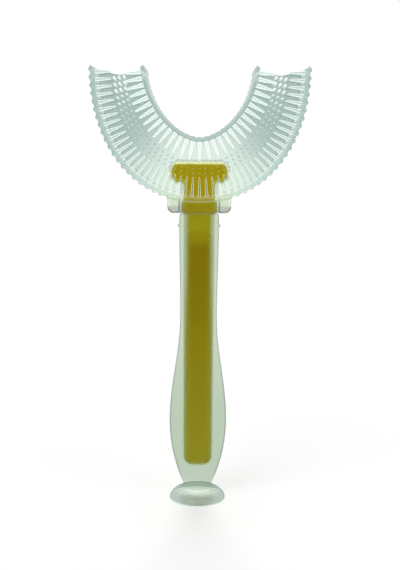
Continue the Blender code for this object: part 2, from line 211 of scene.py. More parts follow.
class Value:
    """A node's output. Maths on it adds Math nodes."""

    def __init__(self, finish, socket):
        self.finish = finish
        self.socket = socket

    def maths(self, operation, first, second=0.0):
        return self.finish.node("ShaderNodeMath", {"operation": operation}, {0: first, 1: second})

    def __add__(self, other):
        return self.maths("ADD", self, other)

    def __radd__(self, other):
        return self.maths("ADD", other, self)

    def __sub__(self, other):
        return self.maths("SUBTRACT", self, other)

    def __rsub__(self, other):
        return self.maths("SUBTRACT", other, self)

    def __mul__(self, other):
        return self.maths("MULTIPLY", self, other)

    def __rmul__(self, other):
        return self.maths("MULTIPLY", other, self)

    def __pow__(self, other):
        return self.maths("POWER", self, other)

    def __abs__(self):
        return self.maths("ABSOLUTE", self)

    def larger(self, other):
        return self.maths("MAXIMUM", self, other)

    def smaller(self, other):
        return self.maths("MINIMUM", self, other)


class Finish:
    """The nodes of a material or of the world. Every node of it comes from node()."""

    def __init__(self, owner):
        self.owner = owner
        owner.use_nodes = True
        self.tree = owner.node_tree
        self.tree.nodes.clear()

    def node(self, kind, settings=None, inputs=None, output=0):
        made = self.tree.nodes.new(kind)
        for key, value in (settings or {}).items():
            if key == "stops":
                self.set_stops(made.color_ramp, value)
            else:
                setattr(made, key, value)
        for key, value in (inputs or {}).items():
            if isinstance(value, Value):
                self.tree.links.new(value.socket, made.inputs[key])
            else:
                made.inputs[key].default_value = value
        if not made.outputs:
            return made
        return Value(self, made.outputs[output])

    def set_stops(self, ramp, stops):
        while len(ramp.elements) < len(stops):
            ramp.elements.new(1)
        for element, (position, colour) in zip(ramp.elements, stops):
            element.position = position
            element.color = (*colour, 1)

    def ramp(self, value, *stops):
        """A colour that follows a value from 0 to 1 through (position, colour) stops."""
        return self.node("ShaderNodeValToRGB", {"stops": stops}, {"Fac": value})

    def steps(self, value, low, high, start=0.0, end=1.0):
        """Start below low and end above high, with a smooth change between."""
        inputs = {"Value": value, 1: low, 2: high, 3: start, 4: end}
        return self.node("ShaderNodeMapRange", {"interpolation_type": "SMOOTHSTEP"}, inputs)

    def mix(self, amount, first, second):
        return self.node("ShaderNodeMixShader", None, {"Fac": amount, 1: first, 2: second})

    def tint(self, amount, first, second):
        """From the first colour to the second."""
        inputs = {"Factor": amount}
        for socket, colour in ((6, first), (7, second)):
            inputs[socket] = colour if isinstance(colour, Value) else (*colour, 1)
        return self.node("ShaderNodeMix", {"data_type": "RGBA"}, inputs, 2)

    def principled(self, inputs):
        return self.node("ShaderNodeBsdfPrincipled", None, inputs)

    def silicone(self, colour, roughness, specular=0.5, more=None):
        """The silicone's own surface, with any more inputs that it needs."""
        inputs = {"Base Color": colour, "Roughness": roughness, "IOR": SILICONE_IOR}
        return self.principled({**inputs, "Specular IOR Level": specular, **(more or {})})

    def clear(self, colour):
        return self.node("ShaderNodeBsdfTransparent", None, {"Color": (*colour, 1)})

    def rubber(self, surface):
        """Clear rubber: what it shows is the surface, and light itself passes nearly whole."""
        shadow, diffuse = (
            self.node("ShaderNodeLightPath", None, None, f"Is {kind} Ray")
            for kind in ("Shadow", "Diffuse")
        )
        return self.output(self.mix(shadow + diffuse, surface, self.clear((0.95, 0.97, 0.94))))

    def output(self, surface):
        kind = "World" if isinstance(self.owner, bpy.types.World) else "Material"
        self.node(f"ShaderNodeOutput{kind}", None, {"Surface": surface})
        return self.owner


def new_finish(name):
    return Finish(bpy.data.materials.new(name))


def place_on(finish):
    """The three Object coordinates, in metres."""
    place = finish.node("ShaderNodeTexCoord", None, None, "Object")
    return [finish.node("ShaderNodeSeparateXYZ", None, {0: place}, axis) for axis in "XYZ"]


def noise(finish, scale, detail=3.0):
    place = finish.node("ShaderNodeTexCoord", None, None, "Object")
    inputs = {"Vector": place, "Scale": scale, "Detail": detail, "Roughness": 0.5}
    return finish.node("ShaderNodeTexNoise", None, inputs, "Fac")


def facing(finish):
    """0 where a surface faces the eye and 1 where it is seen edge-on, as clear rubber shows it."""
    return finish.node("ShaderNodeLayerWeight", None, {"Blend": 0.5}, "Facing")


def far_from_tongue(finish):
    """0 at the tongue's stem and 1 at the ends of the U's arms."""
    x, _, z = place_on(finish)
    rise = z - FADE_HEIGHT
    away = (x * x + rise * rise) ** 0.5
    return away * (1 / FADE_REACH)


def off_tongue(finish):
    """How far outside the tongue's outline a point shows from the front, less than 0 inside."""
    x, _, z = place_on(finish)
    side = abs(x)
    middle = TONGUE_TOP - HAMMER_HEIGHT / 2
    past_side = (side - (CORE_HIGH.x - HAMMER_CORNER)).larger(0)
    past_rise = (abs(z - middle) - (HAMMER_HEIGHT / 2 - HAMMER_CORNER)).larger(0)
    hammer = (past_side * past_side + past_rise * past_rise) ** 0.5 - HAMMER_CORNER
    stem = (side - STEM_WIDTH / 2).larger(z - middle)
    return hammer.smaller(stem)


def off_bar(finish, lift):
    """How far outside the bar's outline a point is from the front. lift moves its end up."""
    x, _, z = place_on(finish)
    past_side = (abs(x) - (CORE_HALF_WIDTH - CORE_CORNER)).larger(0)
    past_floor = (BAR_FLOOR + lift + CORE_CORNER - z).larger(0)
    return (past_side * past_side + past_floor * past_floor) ** 0.5 - CORE_CORNER


def band(finish, value, low, high, soft):
    """1 between low and high and 0 beyond them, with a soft change at each."""
    rise = finish.steps(value, low - soft / 2, low + soft / 2)
    return rise * finish.steps(value, high - soft / 2, high + soft / 2, 1.0, 0.0)


def on_outer_wall(finish):
    """1 on the U's outer side and 0 on its inner side, parted half way across its arms."""
    x, _, z = place_on(finish)
    across = x * (2 / (HALF_WIDTH + TONGUE_HALF_WIDTH))
    down = (HEAD_TOP - z) * (2 / (HEAD_TOP - SEAT - COLLAR_HEIGHT + TONGUE_HEIGHT))
    return finish.steps(across * across + down * down, 0.9, 1.1)


def clear_silicone():
    """The tray's web: greyish green through it, paler in front, clearest over the tongue."""
    finish = new_finish("clear_silicone")
    away = far_from_tongue(finish)
    off = off_tongue(finish)
    on_arm = finish.steps(away, 0.35, 0.95)
    on_tongue = finish.steps(off, -0.4 * MM, 0.3 * MM, 1.0, 0.0)
    # Painted glow: a pale yellow halo round the tongue's outline, standing in for the core's light
    # spreading in the rubber.
    painted_halo = finish.steps(off, 0, 0.8 * MM, 1.0, 0.0) * (1 - on_tongue)
    line = band(finish, off, 0.45 * MM, 0.75 * MM, 0.2 * MM)
    arms = finish.clear((0.65, 0.725, 0.715))
    front = finish.clear((0.875, 0.94, 0.905))
    clearest = finish.clear((0.92, 0.92, 0.86))
    through = finish.mix(on_tongue, finish.mix(on_arm, front, arms), clearest)
    cloud = noise(finish, TRAY_CLOUD)
    shade = finish.ramp(
        away * 0.9 + cloud * 0.2,
        (0.3, (0.70, 0.80, 0.70)),
        (0.6, (0.56, 0.68, 0.63)),
        (0.95, (0.45, 0.57, 0.545)),
    )
    shade = finish.tint(painted_halo, shade, (0.66, 0.70, 0.45))
    shade = finish.tint(line, shade, (0.34, 0.40, 0.30))
    shade = finish.tint(on_tongue, shade, (0.44, 0.40, 0.20))
    body = finish.silicone(shade, 0.3, 0.3)
    amount = (0.1 + 0.23 * on_arm) * (1 - on_tongue) + 0.004 + 0.2 * painted_halo + 0.25 * line
    return finish.rubber(finish.mix(amount + 0.6 * facing(finish) ** 3.0, through, body))


def wall_silicone():
    """The tray's two walls: the inner one deeper in colour, both paler near the tongue."""
    finish = new_finish("wall_silicone")
    away = far_from_tongue(finish)
    on_tongue = finish.steps(off_tongue(finish), -0.4 * MM, 0.3 * MM, 1.0, 0.0)
    inner = finish.clear((0.69, 0.775, 0.76))
    outer = finish.clear((0.90, 0.955, 0.945))
    pale = finish.clear((0.89, 0.935, 0.87))
    on_outer = on_outer_wall(finish)
    plain = finish.mix(on_outer, inner, outer)
    through = finish.mix(finish.steps(away, 0.2, 0.5), pale, plain)
    tip = finish.steps(place_on(finish)[2], HEAD_TOP - 4 * MM, HEAD_TOP - MM)
    through = finish.mix(0.65 * tip, through, finish.clear((0.96, 0.98, 0.97)))
    cloud = noise(finish, TRAY_CLOUD)
    shade = finish.ramp(
        away * 0.9 + cloud * 0.2,
        (0.2, (0.66, 0.76, 0.58)),
        (0.5, (0.52, 0.64, 0.59)),
        (0.95, (0.52, 0.63, 0.61)),
    )
    shade = finish.tint((1 - on_outer) * 0.4, shade, (0.34, 0.43, 0.41))
    shade = finish.tint(tip, shade, (0.70, 0.80, 0.77))
    shade = finish.tint(on_tongue, shade, (0.48, 0.46, 0.21))
    body = finish.silicone(shade, 0.5, 0.0)
    amount = 0.07 + (0.8 - 0.35 * tip) * facing(finish) ** 3.0
    return finish.rubber(finish.mix(amount, through, body))


def collar_silicone():
    """The collar's ears: clear, with grey lines where their edges turn away."""
    finish = new_finish("collar_silicone")
    x, _, z = place_on(finish)
    side = abs(x)
    line = band(finish, side, SOCKET_MOUTH / 2 - 0.2 * MM, SOCKET_MOUTH / 2 + 0.3 * MM, 0.3 * MM)
    over_core = finish.steps(side, CORE_HALF_WIDTH, SOCKET_MOUTH / 2, 1.0, 0.0)
    cloud = noise(finish, COLLAR_CLOUD)
    shade = finish.ramp(cloud, (0.3, (0.17, 0.21, 0.19)), (0.7, (0.22, 0.27, 0.24)))
    shade = finish.tint(over_core, shade, (0.28, 0.27, 0.12))
    body = finish.silicone(shade, 0.3, 0.2)
    low = finish.clear((0.70, 0.735, 0.68))
    high = finish.clear((0.815, 0.875, 0.775))
    over = finish.clear((0.78, 0.80, 0.86))
    through = finish.mix(finish.steps(z, SEAT + 1.3 * MM, SEAT + 2.3 * MM), low, high)
    through = finish.mix(over_core, through, over)
    amount = 0.004 + 0.45 * line + 0.9 * facing(finish) ** 1.3
    return finish.rubber(finish.mix(amount, through, body))


def socket_silicone():
    """The socket's walls, which lie close on the core and hardly show."""
    finish = new_finish("socket_silicone")
    cloud = noise(finish, COLLAR_CLOUD)
    shade = finish.ramp(cloud, (0.3, (0.33, 0.34, 0.18)), (0.7, (0.38, 0.39, 0.22)))
    body = finish.silicone(shade, 0.4, 0.05)
    through = finish.clear((0.99, 0.99, 0.98))
    return finish.rubber(finish.mix(0.002 + 0.7 * facing(finish) ** 3.0, through, body))


def bristle_silicone(name, middles, edges, over_tongue, solid, gather):
    """Bristles: their middles let the tray show, and their edges are a painted highlight and glow.

    middles and edges are colours by the distance from the tongue, and over_tongue is the two
    that they have in front of it. solid gives how much of the middle is its own there and
    elsewhere, and gather is how far the bright edges come in.
    """
    finish = new_finish(name)
    away = far_from_tongue(finish) * 0.8
    turned = facing(finish)
    on_tongue = finish.steps(off_tongue(finish), -0.3 * MM, 0.3 * MM, 1.0, 0.0)
    middle = finish.tint(on_tongue, finish.ramp(away, *middles), over_tongue[0])
    edge = finish.tint(on_tongue, finish.ramp(away, *edges), over_tongue[1])
    body = finish.silicone(middle, 0.4, 0.2)
    # Painted highlight and painted glow: the bright edge colour stands in for light caught at the
    # strands' sides, and it is also given off as light, so the edges stay bright in shade.
    glow = {"Emission Color": edge, "Emission Strength": 0.25}
    painted_rim_highlight = finish.silicone(edge, 0.4, 0.2, glow)
    through = finish.clear((0.97, 0.98, 0.97))
    lit = finish.mix(finish.steps(turned, gather, gather + 0.3), body, painted_rim_highlight)
    own = solid[0] + (solid[1] - solid[0]) * on_tongue
    if len(solid) > 2:
        own = own + (solid[2] - solid[0]) * finish.steps(away, 0.55, 0.85)
    rim_share = 0.6 - 0.35 * on_tongue
    return finish.rubber(finish.mix(own + rim_share * (1 - own) * turned, through, lit))


def inner_bristle_silicone():
    middles = ((0.16, (0.98, 1.0, 1.0)), (0.7, (0.72, 0.85, 0.83)))
    edges = ((0.16, (1.0, 1.0, 1.0)), (0.7, (0.86, 0.93, 0.92)))
    over_tongue = ((0.90, 0.94, 0.82), (0.92, 0.95, 0.85))
    return bristle_silicone("inner_bristle_silicone", middles, edges, over_tongue, (0.7, 0.4), 0.1)


def outer_bristle_silicone():
    middles = (
        (0.25, (0.80, 0.90, 0.78)),
        (0.45, (0.68, 0.80, 0.74)),
        (0.75, (0.58, 0.69, 0.67)),
    )
    edges = (
        (0.25, (0.80, 0.87, 0.77)),
        (0.45, (0.78, 0.87, 0.82)),
        (0.75, (0.84, 0.90, 0.89)),
    )
    over_tongue = ((0.54, 0.53, 0.30), (0.80, 0.79, 0.43))
    return bristle_silicone("outer_bristle_silicone", middles, edges, over_tongue, (0.5, 0.13), 0.1)


def floor_bristle_silicone():
    middles = (
        (0.25, (0.62, 0.73, 0.62)),
        (0.5, (0.62, 0.74, 0.70)),
        (0.65, (0.86, 0.97, 0.94)),
        (0.955, (0.90, 0.99, 0.97)),
        (0.98, (1.0, 1.0, 1.0)),
    )
    edges = (
        (0.25, (0.42, 0.50, 0.44)),
        (0.5, (0.35, 0.45, 0.42)),
        (0.84, (0.40, 0.50, 0.48)),
        (0.9, (0.80, 0.87, 0.86)),
    )
    over_tongue = ((0.42, 0.32, 0.18), (0.62, 0.54, 0.34))
    solid = (0.2, 0.06, 0.9)
    return bristle_silicone("floor_bristle_silicone", middles, edges, over_tongue, solid, 0.25)


def frosted_silicone():
    """Sleeve: soft green; painted yellow glow by the core; painted shadow and gleam in the foot."""
    finish = new_finish("frosted_silicone")
    z = place_on(finish)[2]
    turned = facing(finish)
    foot = finish.steps(z, FOOT_NECK_HEIGHT - 2.4 * MM, FOOT_NECK_HEIGHT - 0.9 * MM, 1.0, 0.0)
    neck = band(finish, z, FOOT_NECK_HEIGHT - 2.2 * MM, FOOT_NECK_HEIGHT + 2.5 * MM, 1.4 * MM)
    shadow = finish.steps(turned - z * 120, -0.08, 0.14, 1.0, 0.0)
    shadow = shadow * finish.steps(z, FOOT_NECK_HEIGHT - 2 * MM, FOOT_NECK_HEIGHT - MM, 1.0, 0.0)
    gleam = band(finish, z, FOOT_NECK_HEIGHT - 1.5 * MM, FOOT_NECK_HEIGHT - 0.7 * MM, 0.4 * MM)
    gleam = gleam * finish.steps(turned, 0.28, 0.42, 1.0, 0.0)
    edge = finish.steps(turned, 0.55, 0.85) * (1 - neck)
    off = off_bar(finish, 1.7 * MM)
    # Painted glow: a yellow halo just outside the bar's outline, standing in for the core's light
    # spreading in the frosted rubber.
    painted_halo = finish.steps(off, -0.15 * MM, 0.1 * MM)
    painted_halo = painted_halo * finish.steps(off, 0.1 * MM, 0.8 * MM, 1.0, 0.0)
    cloud = noise(finish, SLEEVE_CLOUD)
    shade = finish.ramp(cloud, (0.3, (0.42, 0.52, 0.42)), (0.7, (0.46, 0.56, 0.46)))
    shade = finish.tint(painted_halo, shade, (0.44, 0.47, 0.22))
    shade = finish.tint(foot, shade, (0.31, 0.42, 0.37))
    shade = finish.tint(edge, shade, (0.22, 0.27, 0.24))
    shade = finish.tint(shadow, shade, (0.27, 0.32, 0.25))
    shade = finish.tint(gleam, shade, (0.90, 0.98, 0.83))
    grain = noise(finish, SLEEVE_GRAIN, 2.0)
    bump = finish.node(
        "ShaderNodeBump", None, {"Strength": 0.06, "Distance": 0.05 * MM, "Height": grain}
    )
    body = finish.silicone(shade, 0.38 - 0.16 * foot, more={"Normal": bump})
    thin = finish.clear((0.765, 0.825, 0.735))
    thick = finish.clear((0.705, 0.78, 0.69))
    stem = finish.clear((0.74, 0.80, 0.735))
    through = finish.mix(finish.steps(z, BULGE_HEIGHT, WAIST_HEIGHT), thick, thin)
    through = finish.mix(finish.steps(z, BAR_FLOOR - 6 * MM, BAR_FLOOR), stem, through)
    dome = finish.steps(z, FOOT_NECK_HEIGHT - 1.2 * MM, FOOT_NECK_HEIGHT - 0.4 * MM)
    through = finish.mix(dome, finish.clear((0.82, 0.87, 0.83)), through)
    amount = 0.002 + 0.6 * edge + 0.4 * painted_halo + foot * (0.66 + 0.22 * shadow) + 0.3 * gleam
    return finish.rubber(finish.mix(amount, through, body))


def hollow_silicone():
    """The suction foot's hollow, seen through it: nearly clear, with a grey line at its rim."""
    finish = new_finish("hollow_silicone")
    cloud = noise(finish, SLEEVE_CLOUD)
    shade = finish.ramp(cloud, (0.3, (0.36, 0.44, 0.38)), (0.7, (0.42, 0.50, 0.44)))
    body = finish.silicone(shade, 0.3)
    through = finish.clear((0.95, 0.97, 0.95))
    return finish.rubber(finish.mix(0.01 + 0.4 * facing(finish) ** 4.0, through, body))


def bonded_silicone():
    """The sleeve's wall on the core: nearly clear, with a painted highlight on the core's long
    edges.
    """
    finish = new_finish("bonded_silicone")
    _, y, z = place_on(finish)
    high = finish.steps(z, WAIST_HEIGHT - 10 * MM, WAIST_HEIGHT + 15 * MM)
    # Painted highlight: a pale band along the bar's long edges, and where this wall is seen
    # edge-on.
    pale = finish.steps(off_bar(finish, 0) + 0.25 * MM * high, -0.9 * MM, 0.05 * MM)
    pale = pale * finish.steps(abs(y), MM, CORE_NECK_HALF_THICKNESS)
    pale = pale.larger(finish.steps(facing(finish), 0.6, 0.95))
    cloud = noise(finish, SLEEVE_CLOUD)
    shade = finish.ramp(cloud, (0.3, (0.42, 0.43, 0.16)), (0.7, (0.45, 0.46, 0.18)))
    shade = finish.tint(high, shade, (0.48, 0.53, 0.31))
    body = finish.silicone(shade, 0.5, 0.1)
    through = finish.clear((0.99, 0.99, 0.97))
    amount = 0.002 + (0.65 + 0.25 * high) * pale
    return finish.rubber(finish.mix(amount, through, body))


def yellow_plastic():
    """The core: deep yellow, greener at its edges, with painted light at the tongue's top and bar's
    end.
    """
    finish = new_finish("yellow_plastic")
    x, _, z = place_on(finish)
    cloud = noise(finish, CORE_CLOUD)
    height = (z - BAR_FLOOR) * (1 / (TONGUE_TOP - BAR_FLOOR)) + (cloud - 0.5) * 0.04
    colour = finish.ramp(
        height,
        (0.0, (0.40, 0.32, 0.025)),
        (0.1, (0.40, 0.305, 0.016)),
        (0.4, (0.335, 0.245, 0.006)),
        (0.56, (0.29, 0.20, 0.001)),
        (0.72, (0.285, 0.19, 0.001)),
        (0.79, (0.43, 0.34, 0.008)),
        (0.87, (0.40, 0.31, 0.008)),
        (0.93, (0.40, 0.31, 0.002)),
    )
    side = finish.steps(abs(x), 1.6 * MM, CORE_HALF_WIDTH + 0.5 * MM)
    bar_edge = side * finish.steps(z, SLEEVE_TOP, SLEEVE_TOP + MM, 1.0, 0.0)
    colour = finish.tint(bar_edge * 0.6, colour, (0.42, 0.40, 0.09))
    tongue_edge = finish.steps(off_tongue(finish), -1.3 * MM, -0.05 * MM)
    tongue_edge = tongue_edge * finish.steps(z, SLEEVE_TOP, SLEEVE_TOP + 5 * MM)
    colour = finish.tint(tongue_edge * 0.85, colour, (0.45, 0.45, 0.06))
    block = finish.steps(z, SEAT, SEAT + 0.5 * MM) * finish.steps(
        z, SEAT + COLLAR_HEIGHT, SEAT + COLLAR_HEIGHT + MM, 1.0, 0.0
    )
    block = block * finish.steps(abs(x), 4.1 * MM, SOCKET_MOUTH / 2 - 0.3 * MM)
    colour = finish.tint(block, colour, (0.38, 0.42, 0.18))
    spots = finish.steps(noise(finish, CORE_SPOTS, 2.0), 0.48, 0.68) * finish.steps(
        z, SLEEVE_TOP, SLEEVE_TOP + 8 * MM
    )
    colour = finish.tint(spots * 0.4, colour, (0.50, 0.31, 0.003))
    # Painted highlight: a pale rim along the tongue's top edge.
    top = finish.steps(z, TONGUE_TOP - 0.6 * MM, TONGUE_TOP - 0.25 * MM)
    colour = finish.tint(top, colour, (1.0, 1.0, 0.5))
    # Painted light: the bar's low end is lightened where its downward faces would be in shade.
    painted_light_low_end = finish.steps(z, BAR_FLOOR, BAR_FLOOR + 1.4 * MM, 0.8, 0.0)
    colour = finish.tint(painted_light_low_end, colour, (0.75, 0.75, 0.32))
    body = finish.principled(
        {
            "Base Color": colour,
            "Roughness": 0.4,
            "IOR": PLASTIC_IOR,
            "Specular IOR Level": 0.04,
        }
    )
    return finish.output(body)


def pale_floor():
    finish = new_finish("pale_floor")
    diffuse = finish.node("ShaderNodeBsdfDiffuse", None, {"Color": (0.75, 0.75, 0.75, 1)})
    amount = seen_rays(finish) * FLOOR_GLOW
    glow = finish.node("ShaderNodeEmission", None, {"Color": (1, 1, 1, 1), "Strength": amount})
    return finish.output(finish.node("ShaderNodeAddShader", None, {0: diffuse, 1: glow}))


def seen_rays(finish):
    """1 for what the camera, a reflection or clear rubber shows, and 0 for light."""
    camera, glossy, passed = (
        finish.node("ShaderNodeLightPath", None, None, f"Is {kind} Ray")
        for kind in ("Camera", "Glossy", "Transmission")
    )
    return finish.node("ShaderNodeMath", {"operation": "MAXIMUM"}, {0: camera + passed, 1: glossy})


def new_mesh(bm, name):
    mesh = bpy.data.meshes.new(name)
    bm.to_mesh(mesh)
    bm.free()
    return mesh


def add_object(name, data):
    obj = bpy.data.objects.new(name, data)
    bpy.context.scene.collection.objects.link(obj)
    return obj


def new_object(bm, name):
    """The bmesh as an object at the origin, with its faces out."""
    bmesh.ops.recalc_face_normals(bm, faces=bm.faces)
    return add_object(name, new_mesh(bm, name))


def bevel(bm, edges, width, segments):
    bmesh.ops.bevel(
        bm, geom=edges, offset=width, segments=segments, profile=0.5, affect="EDGES", material=-1
    )


def edges_at_floor(bm, floor):
    """A box's lower edges that run from its front to its back."""
    found = []
    for edge in bm.edges:
        a, b = (vert.co for vert in edge.verts)
        if max(a.z, b.z) < floor + MM and abs(a.y - b.y) > MM:
            found.append(edge)
    return found


def spin_profile(bm, points, sides):
    """Turns an outline of (radius, height) round the Z axis."""
    verts = [bm.verts.new((radius, 0, height)) for radius, height in points]
    edges = [bm.edges.new(pair) for pair in zip(verts, verts[1:])]
    bmesh.ops.spin(
        bm,
        geom=verts + edges,
        axis=(0, 0, 1),
        cent=(0, 0, 0),
        angle=2 * math.pi,
        steps=sides,
        use_merge=True,
    )
    bmesh.ops.remove_doubles(bm, verts=bm.verts, dist=MERGE_DISTANCE)


def combine(target, helper, operation):
    """Union with a helper, or a cut by it. The helper is used up."""
    modifier = target.modifiers.new(helper.name, "BOOLEAN")
    modifier.operation = operation
    modifier.solver = "EXACT"
    modifier.object = helper
    depsgraph = bpy.context.evaluated_depsgraph_get()
    mesh = bpy.data.meshes.new_from_object(target.evaluated_get(depsgraph))
    target.modifiers.clear()
    target.data = mesh
    bpy.data.objects.remove(helper)


def dress(obj, materials, body, sharp_angle=SHARP_ANGLE):
    obj.data.materials.clear()
    for material in materials:
        obj.data.materials.append(material)
    obj.data.shade_smooth()
    obj.data.set_sharp_from_angle(angle=math.radians(sharp_angle))
    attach(obj, body)


class CurvedFace:
    """A face of the U: the lower half of a superellipse, from the right arm's end to the left's.

    inset moves it along its normals, towards the inside of the U.
    """

    def __init__(self, half_width, height, power, inset=0.0):
        points = []
        for step in range(CURVE_SAMPLES + 1):
            turn = math.pi * step / CURVE_SAMPLES
            across = math.cos(turn)
            x = math.copysign(half_width * abs(across) ** (2 / power), across)
            z = HEAD_TOP - height * abs(math.sin(turn)) ** (2 / power)
            points.append(Vector((x, z)))
        self.normals = []
        for i in range(len(points)):
            along = points[min(i + 1, CURVE_SAMPLES)] - points[max(i - 1, 0)]
            self.normals.append(Vector((along.y, -along.x)).normalized())
        self.points = [p + n * inset for p, n in zip(points, self.normals)]
        self.lengths = [0.0]
        for a, b in zip(self.points, self.points[1:]):
            self.lengths.append(self.lengths[-1] + (b - a).length)
        self.length = self.lengths[-1]

    def at(self, share):
        """The point and the inward normal at a share of the face's length."""
        target = min(max(share, 0), 1) * self.length
        low, high = 0, CURVE_SAMPLES
        while high - low > 1:
            middle = (low + high) // 2
            if self.lengths[middle] <= target:
                low = middle
            else:
                high = middle
        part = (target - self.lengths[low]) / (self.lengths[high] - self.lengths[low])
        point = self.points[low].lerp(self.points[high], part)
        normal = self.normals[low].lerp(self.normals[high], part).normalized()
        return point, normal


def bump(share, count, pitch, height, width):
    """How far a row of round ribs stands out at a share of a face's length."""
    phase = share * count
    away = abs(phase - math.floor(phase) - 0.5) * pitch * 2 / width
    return height * math.sqrt(max(1 - away**2, 0))


def dip_at(across):
    """How far an arm's end is drawn in, from 0 at the outer face to 1 at the tongue's face."""
    return END_DIP * (1 - abs(2 * across - 1) ** END_DIP_POWER)


def tray_lanes():
    """The tray's section as lanes of (share across the U's arm, which wall, offset, depth)."""
    width = HALF_WIDTH - TONGUE_HALF_WIDTH
    near = [
        (0, "outer", 0, RIM),
        (WALL_RIM / width, "outer", WALL_RIM, RIM),
        (WALL_FOOT / width, "outer", WALL_FOOT, WEB),
    ]
    for step in range(1, WEB_LANES):
        near.append((step / WEB_LANES, "web", 0, WEB))
    near += [
        (1 - WALL_FOOT / width, "inner", WALL_FOOT, WEB),
        (1 - WALL_RIM / width, "inner", WALL_RIM, RIM),
        (1, "inner", 0, RIM),
    ]
    return [(across, wall, inset, -depth) for across, wall, inset, depth in near] + near[::-1]


def make_tray(materials):
    outer = CurvedFace(HALF_WIDTH, HEAD_TOP - SEAT - COLLAR_HEIGHT, OUTER_POWER)
    inner = CurvedFace(TONGUE_HALF_WIDTH, TONGUE_HEIGHT, TONGUE_POWER)
    lanes = tray_lanes()
    count = len(lanes)
    stations = OUTER_COLUMNS * STATIONS_PER_RIB

    def place(share, lane):
        across, wall, inset, depth = lanes[lane % count]
        dip = dip_at(across)
        outer_trim = dip / outer.length
        inner_trim = dip / inner.length
        outer_share = outer_trim + (1 - 2 * outer_trim) * share
        inner_share = inner_trim + (1 - 2 * inner_trim) * share
        outer_point, outer_normal = outer.at(outer_share)
        inner_point, inner_normal = inner.at(inner_share)
        if wall == "outer":
            rise = 0 if inset or abs(outer_point.x) < COLLAR_WIDTH / 2 else RIB_HEIGHT
            if rise:
                rise -= bump(share, OUTER_COLUMNS, outer.length / OUTER_COLUMNS, rise, RIB_WIDTH)
            point = outer_point + outer_normal * (inset + rise)
        elif wall == "inner":
            rise = 0 if inset else NUB_HEIGHT
            if rise:
                rise -= bump(share, INNER_COLUMNS, inner.length / INNER_COLUMNS, rise, NUB_WIDTH)
            point = inner_point - inner_normal * (inset + rise)
        else:
            start = outer_point + outer_normal * WALL_FOOT
            end = inner_point - inner_normal * WALL_FOOT
            point = start.lerp(end, across)
        return Vector((point.x, depth, point.y))

    bm = bmesh.new()
    bmesh.ops.create_grid(bm, x_segments=stations, y_segments=count, size=0.5)
    lane_of = bm.verts.layers.int.new("lane")
    station_of = bm.verts.layers.int.new("station")
    for vert in bm.verts:
        station = round((vert.co.x + 0.5) * stations)
        lane = round((vert.co.y + 0.5) * count)
        vert[lane_of] = lane % count
        vert[station_of] = station
        vert.co = place(station / stations, lane)
    bmesh.ops.remove_doubles(bm, verts=bm.verts, dist=MERGE_DISTANCE)
    ends = {0: {}, stations: {}}
    for vert in bm.verts:
        if vert[station_of] in ends:
            ends[vert[station_of]][vert[lane_of]] = vert
    last = count - 1
    rest = WEB_LANES + 2
    for ring in ends.values():
        wall = (0, 1, 2, last - 2, last - 1, last)
        bm.faces.new([ring[i] for i in wall])
        for i in range(2, rest):
            bm.faces.new([ring[k] for k in (i, i + 1, last - i - 1, last - i)])
        wall = (rest, rest + 1, rest + 2, last - rest - 2, last - rest - 1, last - rest)
        bm.faces.new([ring[i] for i in wall])
    bmesh.ops.recalc_face_normals(bm, faces=bm.faces)

    def bevel_lanes(chosen, width):
        edges = []
        for edge in bm.edges:
            a, b = edge.verts
            if a[lane_of] == b[lane_of] and a[lane_of] in chosen:
                edges.append(edge)
        bevel(bm, edges, width, RIM_STEPS)

    rims = {0, 1, rest + 1, rest + 2, last - rest - 2, last - rest - 1, last - 1, last}
    feet = {2, rest, last - rest, last - 2}
    bevel_lanes(feet, FOOT_FILLET)
    bevel_lanes(rims, RIM_ROUND)
    tray = new_object(bm, "head_tray")
    combine(tray, collar_block(), "UNION")
    combine(tray, socket_shape(), "DIFFERENCE")
    dress(tray, materials, "brush_head")
    for face in tray.data.polygons:
        if inside_socket(face.center):
            face.material_index = ON_SOCKET
        elif face.center.z < SEAT + COLLAR_HEIGHT and abs(face.center.x) < COLLAR_WIDTH / 2:
            face.material_index = ON_COLLAR
        elif abs(face.center.y) > WEB + FOOT_FILLET / 2:
            face.material_index = ON_WALL
        else:
            face.material_index = ON_WEB
    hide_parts("brush_tray")


def inside_socket(point):
    """Whether a point of the tray's surface is on the socket's own walls."""
    room = SOCKET_ROOM + TOUCH
    if abs(point.y) > SOCKET_THICKNESS / 2 + TOUCH or point.z < SEAT + JUST_PAST:
        return False
    if point.z > TONGUE_TOP + room:
        return False
    half = CORE_HIGH.x + room
    if point.z < SEAT + COLLAR_HEIGHT + JUST_PAST:
        half = SOCKET_MOUTH / 2 + TOUCH
    return abs(point.x) < half


def box_between(bm, low, high):
    middle = (low + high) / 2
    size = high - low
    matrix = Matrix.Translation(middle) @ Matrix.Diagonal((*size, 1))
    return bmesh.ops.create_cube(bm, size=1, matrix=matrix)["verts"]


def collar_block():
    """The socket's mouth: a rounded block under the tray's outer wall."""
    bm = bmesh.new()
    half = COLLAR_WIDTH / 2
    top = SEAT + COLLAR_HEIGHT + WALL_RIM + 0.35 * MM
    deep = COLLAR_DEPTH / 2
    box_between(bm, Vector((-half, -deep, SEAT)), Vector((half, deep, top)))
    bevel(bm, edges_at_floor(bm, SEAT), COLLAR_CORNER, CORNER_STEPS)
    front = []
    for edge in bm.edges:
        a, b = (vert.co for vert in edge.verts)
        if abs(a.y - b.y) < MM / 10 and min(a.z, b.z) < top - MM / 10:
            front.append(edge)
    bevel(bm, front, COLLAR_EDGE, RIM_STEPS)
    return new_object(bm, "collar_block")


